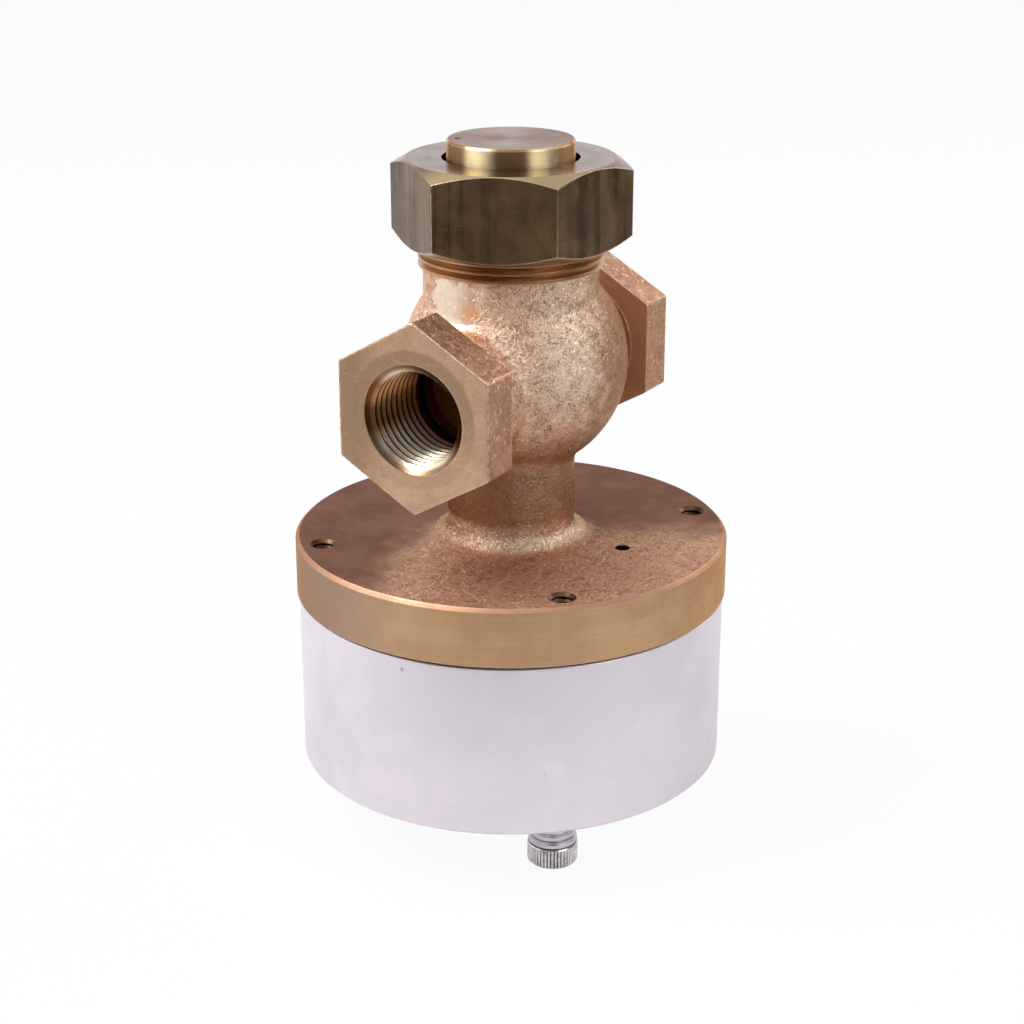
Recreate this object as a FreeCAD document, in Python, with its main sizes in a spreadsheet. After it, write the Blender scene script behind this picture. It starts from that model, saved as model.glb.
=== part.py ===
import FreeCAD, Part
import math
import os
from types import SimpleNamespace

import Sketcher

# Blowdown valve: a cast bronze globe body on a round flange, an air cylinder screwed under the flange,
# and a bonnet cap held on top by a hexagon union nut. Air under the piston lifts the disc off its seat
# and a spring closes it again.
# Every sub-part is drawn about the stem axis with z = 0 on the flange's top face. place() then moves it
# so that the origin lies on the port axis at the first thread of the inlet, +Z up the stem.

doc = FreeCAD.newDocument("BlowdownValve")
dims = doc.addObject("Spreadsheet::Sheet", "Dims")

SIZES = {
    # Flange and neck of the body
    "flange_radius": 44.45,
    "flange_thickness": 11.9,
    "flange_chamfer": 0.8,
    "neck_radius": 13.0,
    "neck_fillet": 2.8,
    # Globe and port ends
    "globe_bulge": 5.2,
    "globe_shift": 1.8,
    "globe_rise": 2.3,
    "port_height": 33.4,
    "face_to_face": 74.4,
    "port_hex_flats": 32.8,
    "port_hex_length": 8.9,
    "port_hex_rounding": 0.7,
    "port_neck_radius": 12.8,
    "port_neck_fillet": 1.2,
    "globe_fillet": 2.5,
    # Pipe thread of both ports
    "inlet_crest_radius": 9.2,
    "outlet_crest_radius": 9.36,
    "pipe_thread_depth": 1.14,
    "pipe_pitch": 1.814,
    "pipe_land": 0.4,
    "pipe_turns": 8,
    "mouth_radius": 10.8,
    "mouth_depth": 1.2,
    "relief_length": 2.2,
    "port_bore_radius": 8.6,
    "inlet_bore_length": 3.2,
    "outlet_bore_length": 0.6,
    # Chambers inside the globe
    "partition_rise": 4.0,
    "partition_thickness": 5.0,
    "upper_chamber_undercut": 1.0,
    "upper_chamber_height": 9.0,
    "lower_chamber_radius": 9.5,
    "lower_chamber_depth": 12.0,
    "passage_width": 14.0,
    "passage_height": 8.5,
    "web_thickness": 3.0,
    # Threaded top of the body
    "rim_rise": 34.6,
    "crown_radius": 17.5,
    "crown_wall": 2.7,
    "crown_thread_depth": 0.9,
    "crown_thread_length": 12.0,
    "crown_pitch": 1.5875,
    "crown_land": 0.45,
    # Stuffing box in the neck, open at the underside of the flange
    "spring_pocket_radius": 19.5,
    "spring_pocket_depth": 5.0,
    "box_radius": 7.6,
    "box_depth": 15.0,
    "bushing_radius": 6.2,
    # Holes of the flange
    "screw_inset": 5.15,
    "screw_angle": 44.0,
    "screw_count": 4,
    "tapped_radius": 2.1,
    "tapped_thread_depth": 0.4,
    "tapped_pitch": 1.06,
    "tapped_mouth_radius": 2.8,
    "vent_circle_radius": 25.5,
    "vent_angle": 271.5,
    "vent_radius": 1.5,
    # Union nut
    "nut_wall": 1.5,
    "nut_height": 16.8,
    "nut_angle": 51.0,
    "nut_bevel_inset": 0.2,
    "nut_top_thickness": 4.95,
    "nut_hole_radius": 13.6,
    "nut_thread_clearance": 0.35,
    "nut_thread_depth": 0.55,
    # Bonnet cap and its gasket
    "cap_radius": 12.6,
    "cap_top_rise": 3.6,
    "cap_collar_lip": 0.3,
    "cap_collar_height": 3.4,
    "cap_pilot_length": 7.5,
    "cap_hollow_radius": 8.4,
    "cap_roof": 5.2,
    "cap_edge": 0.35,
    "punch_mark_radius": 0.85,
    "punch_mark_circle": 10.3,
    "punch_mark_angle": 122.0,
    "bonnet_gasket_thickness": 0.6,
    "lid_clearance": 0.05,
    # Seat ring, stem and disc
    "seat_ring_radius": 9.0,
    "seat_lip_radius": 11.0,
    "seat_lip_height": 2.0,
    "seat_bore_radius": 6.6,
    "seat_edge_height": 0.8,
    "seat_edge_width": 1.0,
    "stem_radius": 4.0,
    "stem_end_radius": 3.0,
    "lift": 7.0,
    "disc_washer_radius": 5.5,
    "disc_washer_thickness": 1.5,
    "disc_seal_radius": 9.3,
    "disc_seal_thickness": 2.5,
    "disc_radius": 10.8,
    "disc_thickness": 3.6,
    "disc_skirt": 1.7,
    "disc_nut_flats": 10.0,
    "disc_nut_height": 4.0,
    "stem_point": 1.2,
    "stem_bevel": 0.5,
    "disc_bevel": 0.8,
    # Packing
    "packing_ring_count": 3,
    "packing_ring_height": 2.2,
    "follower_height": 1.5,
    "gland_thread_radius": 7.5,
    "gland_flats": 17.0,
    "gland_head_height": 3.6,
    "gland_head_gap": 0.4,
    "gland_thread_depth": 0.5,
    "gland_thread_turns": 4,
    # Air cylinder
    "cylinder_inset": 0.5,
    "cylinder_height": 35.6,
    "cylinder_wall": 10.45,
    "cylinder_floor": 6.5,
    "cylinder_edge": 0.5,
    "gasket_thickness": 0.5,
    "gasket_inset": 0.35,
    "screw_hole_radius": 2.65,
    "screw_recess_radius": 4.05,
    "screw_recess_depth": 5.2,
    # Cylinder screws
    "screw_radius": 2.0,
    "screw_head_radius": 3.8,
    "screw_head_height": 4.8,
    "screw_socket_flats": 4.0,
    "screw_socket_depth": 2.4,
    "screw_tip_depth": 4.4,
    # Piston
    "piston_thickness": 10.0,
    "piston_clearance": 0.3,
    "piston_floor_gap": 0.5,
    "piston_bevel": 0.6,
    "seal_fit": 0.05,
    "seal_section_radius": 1.6,
    "seal_drop": 3.4,
    "wear_ring_height": 3.2,
    "wear_ring_thickness": 1.9,
    "wear_ring_rise": 1.2,
    "piston_recess_radius": 7.6,
    "piston_recess_depth": 5.6,
    "piston_nut_flats": 10.0,
    "piston_nut_height": 4.2,
    "piston_washer_radius": 6.0,
    "piston_washer_thickness": 1.0,
    # Spring
    "spring_plate_radius": 18.6,
    "spring_plate_thickness": 1.5,
    "stop_boss_radius": 7.4,
    "spring_radius": 15.4,
    "spring_wire_radius": 1.4,
    "spring_turns": 3.5,
    "spring_end_gap": 0.1,
    # Air tube fitting under the cylinder
    "fitting_inset": 7.0,
    "fitting_angle": 228.45,
    "fitting_thread_radius": 4.85,
    "fitting_flats": 12.0,
    "fitting_hex_height": 4.6,
    "fitting_washer_thickness": 0.9,
    "fitting_neck_radius": 3.9,
    "fitting_neck_length": 2.5,
    "fitting_ring_radius": 4.55,
    "fitting_ring_height": 1.2,
    "fitting_ring_bevel": 0.5,
    "fitting_groove_width": 0.35,
    "fitting_collar_radius": 5.0,
    "fitting_collar_height": 1.2,
    "fitting_collar_bevel": 0.5,
    "fitting_spigot_radius": 4.1,
    "tube_radius": 3.2,
    "tube_socket_depth": 5.4,
    "air_passage_radius": 1.6,
    "tube_nut_radius": 5.15,
    "tube_nut_gap": 0.3,
    "tube_nut_height": 4.3,
    "tube_nut_bevel": 0.3,
    "tube_nut_floor": 1.1,
    "tube_nut_edge": 0.3,
    "knurl_count": 44,
    "knurl_depth": 0.28,
    "ferrule_height": 0.8,
    "ferrule_taper": 0.4,
    # Play between fitted pieces
    "fit_play": 0.05,
    "running_play": 0.06,
    "clear_play": 0.35,
}


class Length:
    """A number together with the sheet formula that it comes from."""

    def __init__(self, number, text):
        self.number = float(number)
        self.text = text

    def join(self, other, sign, number):
        return Length(number, "(%s %s %s)" % (self.text, sign, as_length(other).text))

    def __add__(self, other):
        return self.join(other, "+", self.number + as_length(other).number)

    def __sub__(self, other):
        return self.join(other, "-", self.number - as_length(other).number)

    def __mul__(self, other):
        return self.join(other, "*", self.number * as_length(other).number)

    def __truediv__(self, other):
        return self.join(other, "/", self.number / as_length(other).number)

    def __neg__(self):
        return Length(-self.number, "(0 - %s)" % self.text)


def as_length(thing):
    return thing if isinstance(thing, Length) else Length(thing, repr(thing))


d = SimpleNamespace()
for row, (name, number) in enumerate(SIZES.items(), 1):
    dims.set("A%d" % row, name)
    dims.set("B%d" % row, str(number))
    dims.setAlias("B%d" % row, name)
    setattr(d, name, Length(number, "Dims." + name))
doc.recompute()

ZERO = as_length(0)
COS30 = math.cos(math.radians(30))
TAN30 = math.tan(math.radians(30))

# The flange's radius sets the cylinder, its bore, the screw circle and the air fitting's circle
cylinder_radius = d.flange_radius - d.cylinder_inset
cylinder_bore_radius = cylinder_radius - d.cylinder_wall
screw_circle_radius = d.flange_radius - d.screw_inset
fitting_circle_radius = cylinder_bore_radius - d.fitting_inset

# The crown's radius sets the globe, the crown's thread and bore, the cap's collar and the union nut
globe_radius = d.crown_radius + d.globe_bulge
crown_thread_radius = d.crown_radius + d.crown_thread_depth
bonnet_bore_radius = d.crown_radius - d.crown_wall
upper_chamber_radius = bonnet_bore_radius + d.upper_chamber_undercut
cap_collar_radius = d.crown_radius + d.cap_collar_lip
nut_minor_radius = crown_thread_radius + d.nut_thread_clearance
nut_major_radius = nut_minor_radius + d.nut_thread_depth
nut_flats = (nut_major_radius + d.nut_wall) * 2

# Levels along the stem, all measured from the flange's top face
partition_top = d.port_height + d.partition_rise
partition_bottom = partition_top - d.partition_thickness
lower_floor = partition_bottom - d.lower_chamber_depth
chamber_top = partition_top + d.upper_chamber_height
rim = d.port_height + d.rim_rise
crown_thread_start = rim - d.crown_thread_length
globe_height = d.port_height + d.globe_rise
flange_bottom = -d.flange_thickness
pocket_roof = flange_bottom + d.spring_pocket_depth
box_roof = pocket_roof + d.box_depth
cylinder_top = flange_bottom - d.gasket_thickness
cylinder_bottom = cylinder_top - d.cylinder_height
cylinder_inside = cylinder_bottom + d.cylinder_floor
collar_bottom = rim + d.bonnet_gasket_thickness
collar_top = collar_bottom + d.cap_collar_height
nut_shoulder = collar_top + d.lid_clearance
nut_top = nut_shoulder + d.nut_top_thickness
nut_bottom = nut_top - d.nut_height
cap_top = nut_top + d.cap_top_rise
seat_top = partition_top + d.seat_lip_height + d.seat_edge_height
seal_bottom = seat_top + d.lid_clearance
disc_shoulder = seal_bottom - d.disc_washer_thickness
seal_top = seal_bottom + d.disc_seal_thickness
disc_top = seal_top + d.disc_thickness
disc_nut_top = disc_top + d.disc_nut_height
piston_bottom = cylinder_inside + d.piston_floor_gap
piston_top = piston_bottom + d.piston_thickness
recess_roof = piston_bottom + d.piston_recess_depth
spring_floor = piston_top + d.spring_plate_thickness
gland_shoulder = pocket_roof - d.gland_head_gap
gland_bottom = gland_shoulder - d.gland_head_height
stop_top = gland_bottom - d.lift - d.lid_clearance
half_length = d.face_to_face / 2
hex_inner_face = half_length - d.port_hex_length
pipe_turns = int(d.pipe_turns.number)
pipe_thread_length = d.pipe_pitch * pipe_turns + d.pipe_land
relief_end = half_length - d.mouth_depth - pipe_thread_length - d.relief_length


def bind(thing, path, length):
    """Tie one property of an object to the sheet."""
    if length.text.startswith("Dims.") or "(" in length.text:
        thing.setExpression(path, length.text)


def place(thing):
    """Move a sub-part from the stem axis to the part's own frame."""
    thing.Label = thing.Name
    bind(thing, "Placement.Base.x", half_length - d.mouth_depth)
    bind(thing, "Placement.Base.z", -d.port_height)


def new_body(name):
    body = doc.addObject("PartDesign::Body", name)
    place(body)
    return body


def origin_item(body, role):
    return [item for item in body.Origin.OriginFeatures if item.Role == role][0]


def attach(body, feature, plane, shift=(ZERO, ZERO, ZERO), turn=ZERO):
    """Seat a sketch or primitive on an origin plane, shifted and turned in that plane's axes."""
    feature.AttachmentSupport = [(origin_item(body, plane), "")]
    feature.MapMode = "FlatFace"
    base = FreeCAD.Vector(*[step.number for step in shift])
    turned_by = FreeCAD.Rotation(FreeCAD.Vector(0, 0, 1), turn.number)
    feature.AttachmentOffset = FreeCAD.Placement(base, turned_by)
    for axis, step in zip("xyz", shift):
        bind(feature, "AttachmentOffset.Base." + axis, step)
    bind(feature, "AttachmentOffset.Rotation.Angle", turn)


def closed_sketch(body, name, points, plane="XZ_Plane", **where):
    """A closed outline of straight lines, each corner held by its two sheet formulas."""
    sketch = body.newObject("Sketcher::SketchObject", name)
    attach(body, sketch, plane, **where)
    corners = [(as_length(across), as_length(up)) for across, up in points]
    spots = [FreeCAD.Vector(across.number, up.number, 0) for across, up in corners]
    count = len(spots)
    lines = [Part.LineSegment(spots[i], spots[(i + 1) % count]) for i in range(count)]
    sketch.addGeometry(lines, False)
    rules = [Sketcher.Constraint("Coincident", i, 2, (i + 1) % count, 1) for i in range(count)]
    for i, spot in enumerate(spots):
        rules.append(Sketcher.Constraint("DistanceX", -1, 1, i, 1, spot.x))
        rules.append(Sketcher.Constraint("DistanceY", -1, 1, i, 1, spot.y))
    sketch.addConstraint(rules)
    for i, (across, up) in enumerate(corners):
        bind(sketch, "Constraints[%d]" % (count + 2 * i), across)
        bind(sketch, "Constraints[%d]" % (count + 2 * i + 1), up)
    return sketch


def turned(body, name, points, cut=False, axis="V_Axis", **where):
    """A ring or shaft turned about the upright axis of its own sketch, or about its level one."""
    sketch = closed_sketch(body, name + "Outline", points, **where)
    feature = body.newObject("PartDesign::Groove" if cut else "PartDesign::Revolution", name)
    feature.Profile = sketch
    feature.ReferenceAxis = (sketch, [axis])
    feature.Angle = 360
    body.Tip = feature
    return feature


def prism(body, name, flats, bottom, height, centre=(ZERO, ZERO), turn=ZERO, plane="XY_Plane"):
    """A hexagon bar of a given width across flats."""
    feature = body.newObject("PartDesign::AdditivePrism", name)
    attach(body, feature, plane, shift=(centre[0], centre[1], bottom), turn=turn)
    feature.Polygon = 6
    bind(feature, "Circumradius", flats / (2 * COS30))
    bind(feature, "Height", height)
    body.Tip = feature
    return feature


def rod(body, name, radius, bottom, height, centre=(ZERO, ZERO), cut=False, plane="XY_Plane"):
    """A round bar or a drilled hole."""
    kind = "PartDesign::SubtractiveCylinder" if cut else "PartDesign::AdditiveCylinder"
    feature = body.newObject(kind, name)
    attach(body, feature, plane, shift=(centre[0], centre[1], bottom))
    bind(feature, "Radius", radius)
    bind(feature, "Height", height)
    body.Tip = feature
    return feature


def box_cut(body, name, low, sizes):
    """A square-cornered cored passage."""
    feature = body.newObject("PartDesign::SubtractiveBox", name)
    attach(body, feature, "XY_Plane", shift=low)
    for side, length in zip(("Length", "Width", "Height"), sizes):
        bind(feature, side, length)
    body.Tip = feature
    return feature


def repeat_round(body, name, features, count):
    """Copies of features spaced evenly round the stem axis."""
    feature = body.newObject("PartDesign::PolarPattern", name)
    feature.Originals = features
    feature.Axis = (origin_item(body, "Z_Axis"), [""])
    feature.Angle = 360
    bind(feature, "Occurrences", count)
    body.Tip = feature
    return feature


def soften(body, name, base, radius, wanted, kind="PartDesign::Fillet"):
    """Round or bevel the edges of a feature that a test picks out."""
    doc.recompute()
    names = ["Edge%d" % i for i, edge in enumerate(base.Shape.Edges, 1) if wanted(edge)]
    feature = body.newObject(kind, name)
    feature.Base = (base, names)
    bind(feature, "Radius" if kind.endswith("Fillet") else "Size", radius)
    body.Tip = feature
    return feature


def is_circle(edge, radius, height):
    """Whether an edge is a level circle about the stem axis at this radius and height."""
    if not isinstance(edge.Curve, Part.Circle):
        return False
    same_radius = abs(edge.Curve.Radius - radius.number) < 1e-4
    return same_radius and abs(edge.Curve.Center.z - height) < 1e-4


def thread_corners(start, pitch, land, crest, root, turns, step):
    """Corners of a ring-grooved thread along one axis, from its first crest to its last."""
    flank = (pitch - land) / 2
    corners = []
    for turn in range(turns):
        begin = start + pitch * (turn * step)
        corners.append((begin, crest))
        corners.append((begin + land * step, crest))
        corners.append((begin + (land + flank) * step, root))
    last = start + pitch * (turns * step)
    corners.append((last, crest))
    corners.append((last + land * step, crest))
    return corners


def clocked(radius, clock):
    """The across and deep place of a point on a circle about the stem axis."""
    angle = math.radians(clock.number)
    across = Length(radius.number * math.cos(angle), "(%s * cos(%s * 1 deg))" % (radius.text, clock.text))
    deep = Length(radius.number * math.sin(angle), "(%s * sin(%s * 1 deg))" % (radius.text, clock.text))
    return across, deep


# Body: flange, neck, globe, port ends and threaded crown in one casting

def body_outside(body):
    turns = int(d.crown_thread_length.number / d.crown_pitch.number)
    crown = thread_corners(crown_thread_start, d.crown_pitch, d.crown_land, crown_thread_radius,
                           d.crown_radius, turns, 1)
    outline = [(ZERO, flange_bottom), (d.flange_radius, flange_bottom), (d.flange_radius, ZERO),
               (d.neck_radius, ZERO), (d.neck_radius, globe_height), (d.crown_radius, globe_height),
               (d.crown_radius, crown_thread_start - d.crown_land)]
    outline += [(radius, height) for height, radius in crown]
    outline += [(d.crown_radius, crown[-1][0]), (d.crown_radius, rim), (ZERO, rim)]
    shell = turned(body, "Shell", outline)
    soften(body, "FlangeBevel", shell, d.flange_chamfer,
           lambda edge: is_circle(edge, d.flange_radius, 0), "PartDesign::Chamfer")
    soften(body, "NeckRoot", body.Tip, d.neck_fillet,
           lambda edge: is_circle(edge, d.neck_radius, 0))
    globe = body.newObject("PartDesign::AdditiveSphere", "Globe")
    attach(body, globe, "XY_Plane", shift=(d.globe_shift, ZERO, globe_height))
    bind(globe, "Radius", globe_radius)
    body.Tip = globe
    soften(body, "GlobeEnds", globe, d.globe_fillet, is_globe_end)
    rod(body, "PortNecks", d.port_neck_radius, -hex_inner_face, hex_inner_face * 2,
        centre=(ZERO, d.port_height), plane="YZ_Plane")
    soften(body, "PortNeckRoots", body.Tip, d.port_neck_fillet, is_port_root)
    quarter = as_length(90)
    for end, start in (("Inlet", -half_length), ("Outlet", hex_inner_face)):
        prism(body, end + "Hexagon", d.port_hex_flats, start, d.port_hex_length,
              centre=(ZERO, d.port_height), turn=quarter, plane="YZ_Plane")


def middle_of(edge):
    return edge.valueAt((edge.FirstParameter + edge.LastParameter) / 2)


def is_globe_end(edge):
    """Whether an edge is where the neck or the crown runs into the globe, which is cast off centre."""
    spot = middle_of(edge)
    out = math.hypot(spot.x, spot.y)
    centre = FreeCAD.Vector(d.globe_shift.number, 0, globe_height.number)
    on_globe = abs(spot.distanceToPoint(centre) - globe_radius.number) < 1e-4
    return on_globe and min(abs(out - d.neck_radius.number), abs(out - d.crown_radius.number)) < 1e-4


def is_port_root(edge):
    """Whether an edge is where a port neck runs into the globe or the crown."""
    spot = middle_of(edge)
    out = math.hypot(spot.y, spot.z - d.port_height.number)
    on_neck = abs(out - d.port_neck_radius.number) < 1e-4
    straight = isinstance(edge.Curve, (Part.Line, Part.LineSegment))
    return on_neck and not straight and abs(spot.x) < hex_inner_face.number - 0.1


def round_hexagons(body):
    """Take the sharpness off the six cast corners of each port end."""
    corner = d.port_hex_flats.number / (2 * COS30)
    shortest = d.port_hex_length.number * 0.9

    def is_corner(edge):
        if not isinstance(edge.Curve, (Part.Line, Part.LineSegment)):
            return False
        middle = edge.BoundBox.Center
        out = math.hypot(middle.y, middle.z - d.port_height.number)
        return edge.BoundBox.XLength > shortest and abs(out - corner) < 0.01

    soften(body, "HexagonCorners", body.Tip, d.port_hex_rounding, is_corner)


def cut_port(body, end, step, crest, bore_length):
    """The threaded bore of one port, from its countersunk mouth to its inner bore. step points inwards."""
    face = half_length * -step
    first = face + d.mouth_depth * step
    root = crest + d.pipe_thread_depth
    outline = [(face, ZERO), (face, d.mouth_radius)]
    outline += thread_corners(first, d.pipe_pitch, d.pipe_land, crest, root, pipe_turns, step)
    relief = relief_end * -step
    bore_end = relief + bore_length * step
    outline += [(outline[-1][0], root), (relief, root), (relief, d.port_bore_radius),
                (bore_end, d.port_bore_radius), (bore_end, ZERO)]
    turned(body, end + "Bore", outline, cut=True, axis="H_Axis", shift=(ZERO, d.port_height, ZERO))


def cut_chambers(body):
    """Upper and lower chambers with the seat partition between them, and the passage to each port."""
    outline = [(ZERO, partition_top), (upper_chamber_radius, partition_top),
               (upper_chamber_radius, partition_top + d.upper_chamber_height / 2),
               (bonnet_bore_radius, chamber_top), (bonnet_bore_radius, rim), (ZERO, rim)]
    turned(body, "UpperChamber", outline, cut=True)
    rod(body, "LowerChamber", d.lower_chamber_radius, lower_floor, d.lower_chamber_depth, cut=True)
    rod(body, "SeatBore", d.seat_ring_radius + d.fit_play, partition_bottom, d.partition_thickness, cut=True)
    side = -d.passage_width / 2
    reach_in = d.lower_chamber_radius + d.web_thickness
    inlet_low = (-relief_end, side, partition_top - d.passage_height / 2)
    box_cut(body, "InletPassage", inlet_low, (relief_end - reach_in, d.passage_width, d.passage_height))
    outlet_low = (ZERO, side, partition_bottom - d.passage_height)
    box_cut(body, "OutletPassage", outlet_low, (relief_end, d.passage_width, d.passage_height))


def cut_neck(body):
    """Spring pocket, stuffing box and bushing bore, all opened from under the flange."""
    outline = [(ZERO, flange_bottom), (d.spring_pocket_radius, flange_bottom),
               (d.spring_pocket_radius, pocket_roof), (d.box_radius, pocket_roof), (d.box_radius, box_roof),
               (d.bushing_radius + d.fit_play, box_roof), (d.bushing_radius + d.fit_play, lower_floor),
               (ZERO, lower_floor)]
    turned(body, "StuffingBox", outline, cut=True)


def cut_flange_holes(body):
    """Four tapped holes on the screw circle and the vent of the spring side."""
    turns = int(d.flange_thickness.number / d.tapped_pitch.number) - 1
    root = d.tapped_radius + d.tapped_thread_depth
    half_pitch = d.tapped_pitch / 2
    mouth = d.tapped_mouth_radius - d.tapped_radius
    outline = [(ZERO, ZERO), (d.tapped_mouth_radius, ZERO), (d.tapped_radius, -mouth)]
    for turn in range(turns):
        low = -mouth - d.tapped_pitch * turn
        outline += [(root, low - half_pitch), (d.tapped_radius, low - d.tapped_pitch)]
    outline += [(d.tapped_radius, flange_bottom), (ZERO, flange_bottom)]
    across, deep = clocked(screw_circle_radius, d.screw_angle)
    moved = [(across + radius, height) for radius, height in outline]
    sketch = closed_sketch(body, "TappedHoleOutline", moved, shift=(ZERO, ZERO, -deep))
    sketch.addGeometry(Part.LineSegment(FreeCAD.Vector(across.number, flange_bottom.number, 0),
                                        FreeCAD.Vector(across.number, 0, 0)), True)
    axis_line = len(moved)
    sketch.addConstraint(Sketcher.Constraint("Vertical", axis_line))
    rule = sketch.addConstraint(Sketcher.Constraint("DistanceX", -1, 1, axis_line, 1, across.number))
    bind(sketch, "Constraints[%d]" % rule, across)
    hole = body.newObject("PartDesign::Groove", "TappedHole")
    hole.Profile = sketch
    hole.ReferenceAxis = (sketch, ["Axis0"])
    hole.Angle = 360
    body.Tip = hole
    repeat_round(body, "TappedHoles", [hole], d.screw_count)
    rod(body, "Vent", d.vent_radius, flange_bottom, d.flange_thickness,
        centre=clocked(d.vent_circle_radius, d.vent_angle), cut=True)


def make_valve_body():
    body = new_body("valve_body")
    body_outside(body)
    round_hexagons(body)
    cut_port(body, "Inlet", 1, d.inlet_crest_radius, d.inlet_bore_length)
    cut_port(body, "Outlet", -1, d.outlet_crest_radius, d.outlet_bore_length)
    cut_chambers(body)
    cut_neck(body)
    cut_flange_holes(body)


def make_ring(name, inner, outer, bottom, top):
    """A plain ring about the stem axis."""
    body = new_body(name)
    turned(body, "Ring", [(inner, bottom), (outer, bottom), (outer, top), (inner, top)])
    return body


# Bonnet: union nut, cap and gasket

def make_union_nut():
    body = new_body("union_nut")
    prism(body, "Hexagon", nut_flats, nut_bottom, d.nut_height, turn=d.nut_angle)
    bevel_start = nut_flats / 2 - d.nut_bevel_inset
    past_corner = nut_flats * 0.6
    drop = (past_corner - bevel_start) * TAN30
    for name, level, away in (("TopBevel", nut_top, -1), ("BottomBevel", nut_bottom, 1)):
        wedge = [(bevel_start, level), (past_corner, level), (past_corner, level + drop * away)]
        turned(body, name, wedge, cut=True)
    turns = int((rim.number - nut_bottom.number) / d.crown_pitch.number) - 1
    first = nut_bottom + d.nut_thread_depth
    threads = thread_corners(first, d.crown_pitch, d.crown_land, nut_minor_radius,
                             nut_major_radius, turns, 1)
    inside = [(ZERO, nut_bottom), (nut_major_radius, nut_bottom)]
    inside += [(radius, height) for height, radius in threads]
    inside += [(nut_major_radius, threads[-1][0]), (nut_major_radius, nut_shoulder),
               (d.nut_hole_radius, nut_shoulder), (d.nut_hole_radius, nut_top), (ZERO, nut_top)]
    turned(body, "ThreadedInside", inside, cut=True)


def make_bonnet_cap():
    body = new_body("bonnet_cap")
    pilot_bottom = rim - d.cap_pilot_length
    pilot_radius = bonnet_bore_radius - d.clear_play
    outline = [(d.cap_hollow_radius, pilot_bottom), (pilot_radius, pilot_bottom),
               (pilot_radius, collar_bottom), (cap_collar_radius, collar_bottom),
               (cap_collar_radius, collar_top), (d.cap_radius, collar_top),
               (d.cap_radius, cap_top - d.cap_edge), (d.cap_radius - d.cap_edge, cap_top),
               (ZERO, cap_top), (ZERO, cap_top - d.cap_roof), (d.cap_hollow_radius, cap_top - d.cap_roof)]
    turned(body, "Plug", outline)
    across, deep = clocked(d.punch_mark_circle, d.punch_mark_angle)
    mark = body.newObject("PartDesign::SubtractiveCone", "PunchMark")
    attach(body, mark, "XY_Plane", shift=(across, deep, cap_top - d.punch_mark_radius / 2))
    bind(mark, "Radius1", d.punch_mark_radius / 5)
    bind(mark, "Radius2", d.punch_mark_radius)
    bind(mark, "Height", d.punch_mark_radius / 2)
    body.Tip = mark


# Seat, stem and disc

def make_seat_ring():
    body = new_body("seat_ring")
    lip_top = partition_top + d.seat_lip_height
    edge_inner = d.seat_bore_radius
    edge_outer = d.seat_bore_radius + d.seat_edge_width
    turned(body, "Ring", [(edge_inner, partition_bottom), (d.seat_ring_radius, partition_bottom),
                          (d.seat_ring_radius, partition_top), (d.seat_lip_radius, partition_top),
                          (d.seat_lip_radius, lip_top), (edge_outer, lip_top), (edge_outer, seat_top),
                          (edge_inner, seat_top)])


def make_stem():
    body = new_body("stem")
    lower_end = recess_roof - d.piston_washer_thickness - d.piston_nut_height
    upper_end = disc_nut_top + d.stem_point
    small = d.stem_end_radius
    big = d.stem_radius
    bevel = d.stem_bevel
    turned(body, "Shaft", [(ZERO, lower_end), (small - bevel, lower_end), (small, lower_end + bevel),
                           (small, spring_floor), (big, spring_floor), (big, disc_shoulder),
                           (small, disc_shoulder), (small, upper_end - bevel),
                           (small - bevel, upper_end), (ZERO, upper_end)])


def make_disc_holder():
    body = new_body("disc_holder")
    bore = d.stem_end_radius + d.fit_play
    skirt_bottom = seal_top - d.disc_skirt
    pocket = d.disc_seal_radius + d.fit_play
    bevel = d.disc_bevel
    turned(body, "Cup", [(bore, seal_top), (pocket, seal_top), (pocket, skirt_bottom),
                         (d.disc_radius, skirt_bottom), (d.disc_radius, disc_top - bevel),
                         (d.disc_radius - bevel, disc_top), (bore, disc_top)])


def make_hex_nut(name, flats, bottom, height):
    """A plain hexagon nut on the thin end of the stem."""
    body = new_body(name)
    prism(body, "Hexagon", flats, bottom, height)
    rod(body, "Hole", d.stem_end_radius + d.fit_play, bottom, height, cut=True)


def make_stem_group():
    make_stem()
    bore = d.stem_end_radius + d.fit_play
    make_ring("disc_washer", bore, d.disc_washer_radius, disc_shoulder, seal_bottom)
    make_ring("disc_seal", bore, d.disc_seal_radius, seal_bottom, seal_top)
    make_disc_holder()
    make_hex_nut("disc_nut", d.disc_nut_flats, disc_top, d.disc_nut_height)
    make_ring("piston_washer", bore, d.piston_washer_radius,
              recess_roof - d.piston_washer_thickness, recess_roof)
    make_hex_nut("piston_nut", d.piston_nut_flats,
                 recess_roof - d.piston_washer_thickness - d.piston_nut_height, d.piston_nut_height)


# Packing in the neck

def make_packing():
    bore = d.stem_radius + d.running_play
    make_ring("guide_bushing", bore, d.bushing_radius, box_roof, lower_floor)
    body = new_body("packing_rings")
    middle = (bore + d.box_radius - d.fit_play) / 2
    outer = d.box_radius - d.fit_play
    ring_height = d.packing_ring_height
    slant = ring_height / 4
    ring_count = int(d.packing_ring_count.number)
    for index in range(ring_count):
        top = box_roof - ring_height * index
        low = top - ring_height
        outline = [(bore, low + slant), (middle, low), (outer, low + slant), (outer, top),
                   (middle, top - slant), (bore, top)]
        turned(body, "Ring%d" % index, outline)
    stack_bottom = box_roof - ring_height * ring_count
    follower_bottom = stack_bottom - d.follower_height
    make_ring("packing_follower", bore, outer, follower_bottom, stack_bottom)
    make_packing_nut(bore, follower_bottom)


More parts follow.
